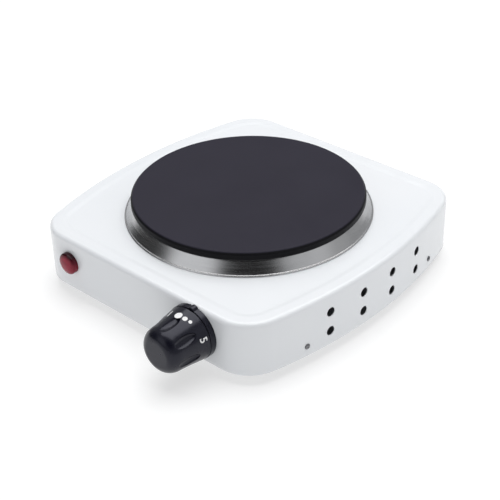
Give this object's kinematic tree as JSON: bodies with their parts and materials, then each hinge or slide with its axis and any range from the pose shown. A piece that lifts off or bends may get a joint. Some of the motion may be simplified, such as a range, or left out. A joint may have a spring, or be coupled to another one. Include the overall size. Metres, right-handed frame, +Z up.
{
  "type": "electric hot plate",
  "caption": "Countertop electric hot plate: bowed white enamelled body, round cast-iron cooking plate, front control knob and pilot lamp, vented side walls.",
  "frame": {"origin": "the middle of the object's footprint, at the level of the feet's underside", "axes": "+Z up, the knob and the lamp face -Y, the cord gland faces +Y, air holes in the walls at +X and -X"},
  "size_m": [0.216, 0.2536, 0.059],
  "materials": {
    "enamel": "glossy vitreous enamel",
    "galvanised": "galvanised sheet",
    "zinc": "zinc plated",
    "rubber": "matt",
    "black_rubber": "satin moulded",
    "iron": "black heat-resistant coating",
    "stainless": "satin",
    "ceramic": "fired ceramic",
    "heating_wire": "oxidised",
    "brass": "bright",
    "black_plastic": "semi-gloss",
    "pale_plastic": "moulded",
    "red_lens": "translucent red",
    "bulb_glass": "clear",
    "brown_wire": "insulation",
    "blue_wire": "insulation",
    "green_wire": "insulation"
  },
  "bodies": {
    "body": {"base_plate": "galvanised", "base_screws": "zinc", "bimetal_strip": "zinc", "bracket_screws": "zinc", "casing": "enamel", "ceramic_beads": "ceramic", "clamp_bar": "galvanised", "cord_clamp_bar": "pale_plastic", "cord_clamp_base": "pale_plastic", "cord_clamp_screws": "zinc", "cord_gland": "black_rubber", "earth_screw": "zinc", "earth_tag": "brass", "earth_wire": "green_wire", "feet": "rubber", "fixed_contact": "zinc", "fixed_leaf": "brass", "foot_nuts": "zinc", "foot_screws": "zinc", "heater_cover": "galvanised", "heater_pins": "heating_wire", "heater_terminal_block": "ceramic", "heating_coils": "heating_wire", "hot_plate": "iron", "knob_bezel": "black_plastic", "lamp_clip": "zinc", "lamp_holder": "black_plastic", "lamp_lens": "red_lens", "lamp_resistor": "ceramic", "lamp_wires": "brown_wire", "leaf_terminal": "brass", "live_wire": "brown_wire", "magnesia_fill": "ceramic", "mains_block": "pale_plastic", "mains_inserts": "brass", "mains_screws": "zinc", "neon_bulb": "bulb_glass", "neutral_wire": "blue_wire", "plate_nut": "zinc", "plate_stud": "zinc", "plate_washer": "zinc", "stack_rivet": "zinc", "switched_wire": "brown_wire", "thermal_fuse": "zinc", "thermostat_bracket": "galvanised", "thermostat_bush": "brass", "trim_ring": "stainless"},
    "knob": {"knob": "black_plastic", "knob_shaft": "zinc", "knob_spring": "zinc"},
    "adjusting_pin": {"adjusting_pin": "brass"},
    "contact_leaf": {"contact_leaf": "brass", "moving_contact": "zinc"}
  },
  "joints": [
    {"name": "knob_turn", "type": "hinge", "parent": "body", "child": "knob", "pos_m": [0.0504, -0.0945, 0.0272], "axis": [0, 1, 0], "range_deg": [0, 295]},
    {"name": "pin_travel", "type": "slide", "parent": "body", "child": "adjusting_pin", "axis": [0, 1, 0], "range_m": [0, 0.00083]},
    {"name": "leaf_flex", "type": "hinge", "parent": "body", "child": "contact_leaf", "pos_m": [0.0393, -0.0654, 0.0272], "axis": [0, 0, 1], "range_deg": [0, 4.3]}
  ],
  "couplings": [
    {"joint": "pin_travel", "follows": "knob_turn", "m_per_rad": 0.00015915},
    {"joint": "leaf_flex", "follows": "knob_turn", "ratio": 0.014338}
  ]
}
